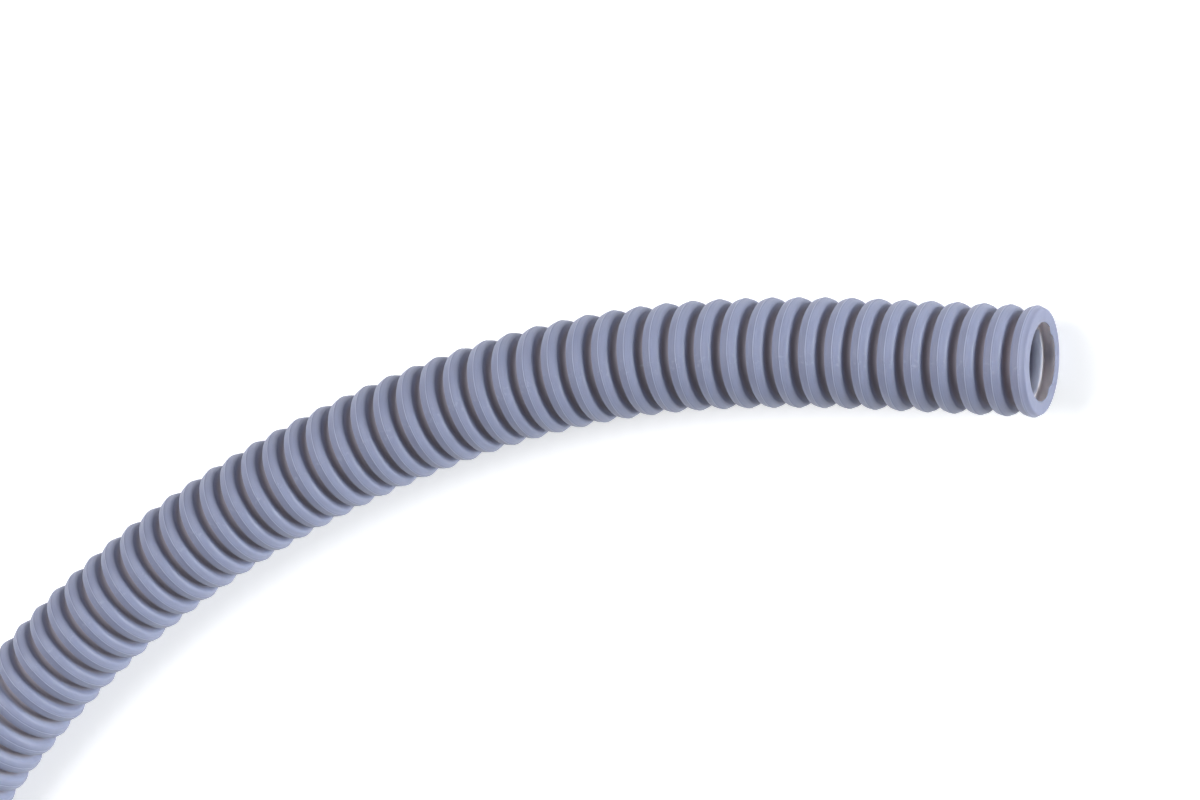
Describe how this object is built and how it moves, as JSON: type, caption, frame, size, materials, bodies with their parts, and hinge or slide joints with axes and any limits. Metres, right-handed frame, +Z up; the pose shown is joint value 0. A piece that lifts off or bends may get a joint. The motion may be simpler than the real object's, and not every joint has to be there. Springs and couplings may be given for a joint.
{
  "type": "corrugated conduit",
  "caption": "Pliable corrugated plastic conduit, a metre cut from a coil, ribbed all along, open at both ends and lying in its own curl.",
  "frame": {"origin": "middle of the free end's cut face, on the tube's middle line", "axes": "+X out of the free end along the tube, the tube runs away along -X and curls in the XY plane, +Z up; the floor it lies on is at Z = -10 mm"},
  "size_m": [0.4422, 0.458, 0.02],
  "materials": {
    "conduit": "grey plastic, slightly glossy"
  },
  "bodies": {
    "root": {"conduit": "conduit"}
  },
  "joints": []
}
